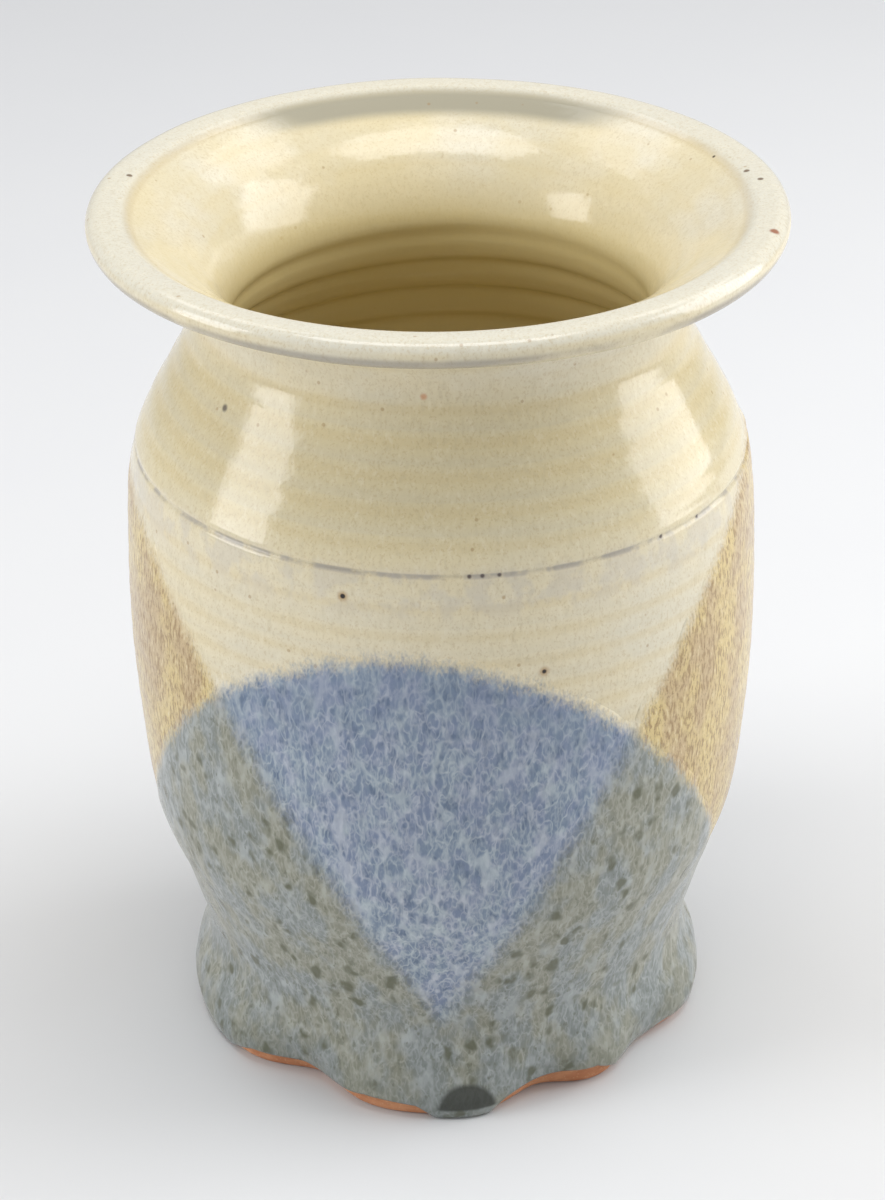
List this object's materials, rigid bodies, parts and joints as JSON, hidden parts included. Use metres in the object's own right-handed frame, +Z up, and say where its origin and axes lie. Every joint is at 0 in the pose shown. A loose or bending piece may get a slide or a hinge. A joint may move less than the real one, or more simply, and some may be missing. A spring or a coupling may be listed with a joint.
{
  "type": "stoneware vase",
  "caption": "Hand-thrown stoneware vase with a wide rolled lip, short neck, sloping shoulder, low waist and ruffled foot, glazed cream with ochre and blue dips.",
  "frame": {"origin": "centre of the foot, on the table", "axes": "+Z up along the pot's axis, -Y towards the front, +X to the right seen from the front"},
  "size_m": [0.153, 0.153, 0.2031],
  "materials": {
    "bare_stoneware": "fired, unglazed",
    "liner_glaze": "glossy",
    "cream_glaze": "glossy",
    "ochre_glaze": "glossy, speckled",
    "blue_glaze": "glossy, mottled"
  },
  "bodies": {
    "root": {"clay_body": "bare_stoneware", "liner_glaze": "liner_glaze", "cream_glaze": "cream_glaze", "ochre_glaze_left": "ochre_glaze", "ochre_glaze_right": "ochre_glaze", "blue_glaze_front": "blue_glaze", "blue_glaze_back": "blue_glaze"}
  },
  "joints": []
}
